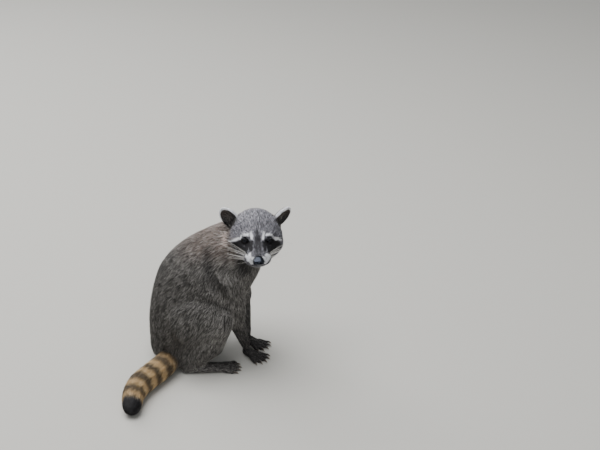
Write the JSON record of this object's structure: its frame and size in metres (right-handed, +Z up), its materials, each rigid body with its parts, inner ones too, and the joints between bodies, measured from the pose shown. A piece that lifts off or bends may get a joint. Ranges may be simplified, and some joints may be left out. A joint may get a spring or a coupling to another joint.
{
  "type": "raccoon",
  "caption": "Still, life-size raccoon sitting with its forepaws on the ground, its head turned aside and its ringed tail laid along the floor.",
  "frame": {"origin": "middle of the footprint's bounding box, on the floor under the rump, feet and tail", "axes": "+X where the trunk faces as it sits, -Y where the face looks and the tail lies, +Z up"},
  "size_m": [0.324, 0.3242, 0.322],
  "materials": {
    "coat_grizzled": "long grizzled grey-brown fur",
    "coat_dark": "short blackish-brown fur",
    "coat_face": "short grey fur with a black mask and white marks",
    "coat_tail": "bushy ochre fur with dark rings and a black tip",
    "eye": "wet and glossy",
    "nose_leather": "moist and finely pebbled",
    "claw": "smooth horn",
    "whisker": "stiff white hair"
  },
  "bodies": {
    "root": {"ear_left": "coat_face", "ear_right": "coat_face", "eye_left": "eye", "eye_right": "eye", "forearm_left": "coat_dark", "forearm_right": "coat_dark", "forepaw_left": "coat_dark", "forepaw_right": "coat_dark", "head": "coat_face", "hind_foot_left": "coat_dark", "hind_foot_right": "coat_dark", "neck": "coat_grizzled", "nose": "nose_leather", "shank_left": "coat_grizzled", "shank_right": "coat_grizzled", "tail_middle": "coat_tail", "tail_root": "coat_tail", "tail_tip": "coat_tail", "thigh_left": "coat_grizzled", "thigh_right": "coat_grizzled", "trunk": "coat_grizzled", "upper_arm_left": "coat_grizzled", "upper_arm_right": "coat_grizzled"}
  },
  "joints": []
}
